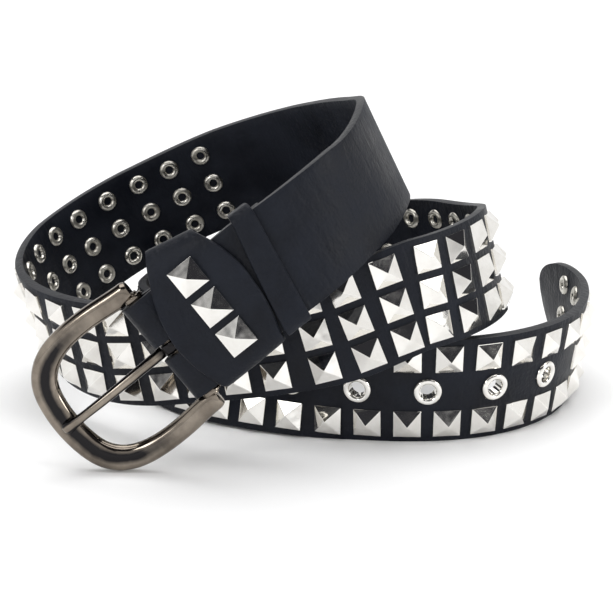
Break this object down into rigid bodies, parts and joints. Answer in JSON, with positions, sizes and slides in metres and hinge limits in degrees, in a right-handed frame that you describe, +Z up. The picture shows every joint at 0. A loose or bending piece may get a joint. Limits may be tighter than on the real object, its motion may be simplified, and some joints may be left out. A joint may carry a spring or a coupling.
{
  "type": "studded belt",
  "caption": "Black leather belt with rows of square pyramid studs, unfastened and lying in a rising coil, with a dark metal prong buckle, keepers and eyelets.",
  "frame": {"origin": "middle of the whole belt's underside, on the surface that it lies on", "axes": "+X to the right and +Y away from the side the buckle faces, +Z up; the buckle is at -X, -Y and the strap's tip at +X, +Y"},
  "size_m": [0.2136, 0.1636, 0.1158],
  "materials": {
    "leather": "matte black with a faint sheen",
    "nickel": "polished nickel",
    "gunmetal": "polished dark gunmetal"
  },
  "bodies": {
    "strap": {"strap": "leather", "wide_keeper": "leather", "plain_keeper": "leather", "keeper_stud_top": "nickel", "keeper_stud_middle": "nickel", "keeper_stud_bottom": "nickel", "eyelet_1": "nickel", "eyelet_2": "nickel", "eyelet_3": "nickel", "eyelet_4": "nickel", "eyelet_5": "nickel", "eyelet_6": "nickel"},
    "buckle": {"buckle_frame": "gunmetal"},
    "prong": {"prong": "gunmetal"}
  },
  "joints": [
    {"name": "buckle_hinge", "type": "hinge", "parent": "strap", "child": "buckle", "pos_m": [-0.04371, -0.06759, 0.0445], "axis": [-0.6305, 0.043, 0.775], "range_deg": [-35, 20]},
    {"name": "prong_hinge", "type": "hinge", "parent": "buckle", "child": "prong", "pos_m": [-0.04371, -0.06759, 0.0445], "axis": [-0.6305, 0.043, 0.775], "range_deg": [0, 65]}
  ]
}
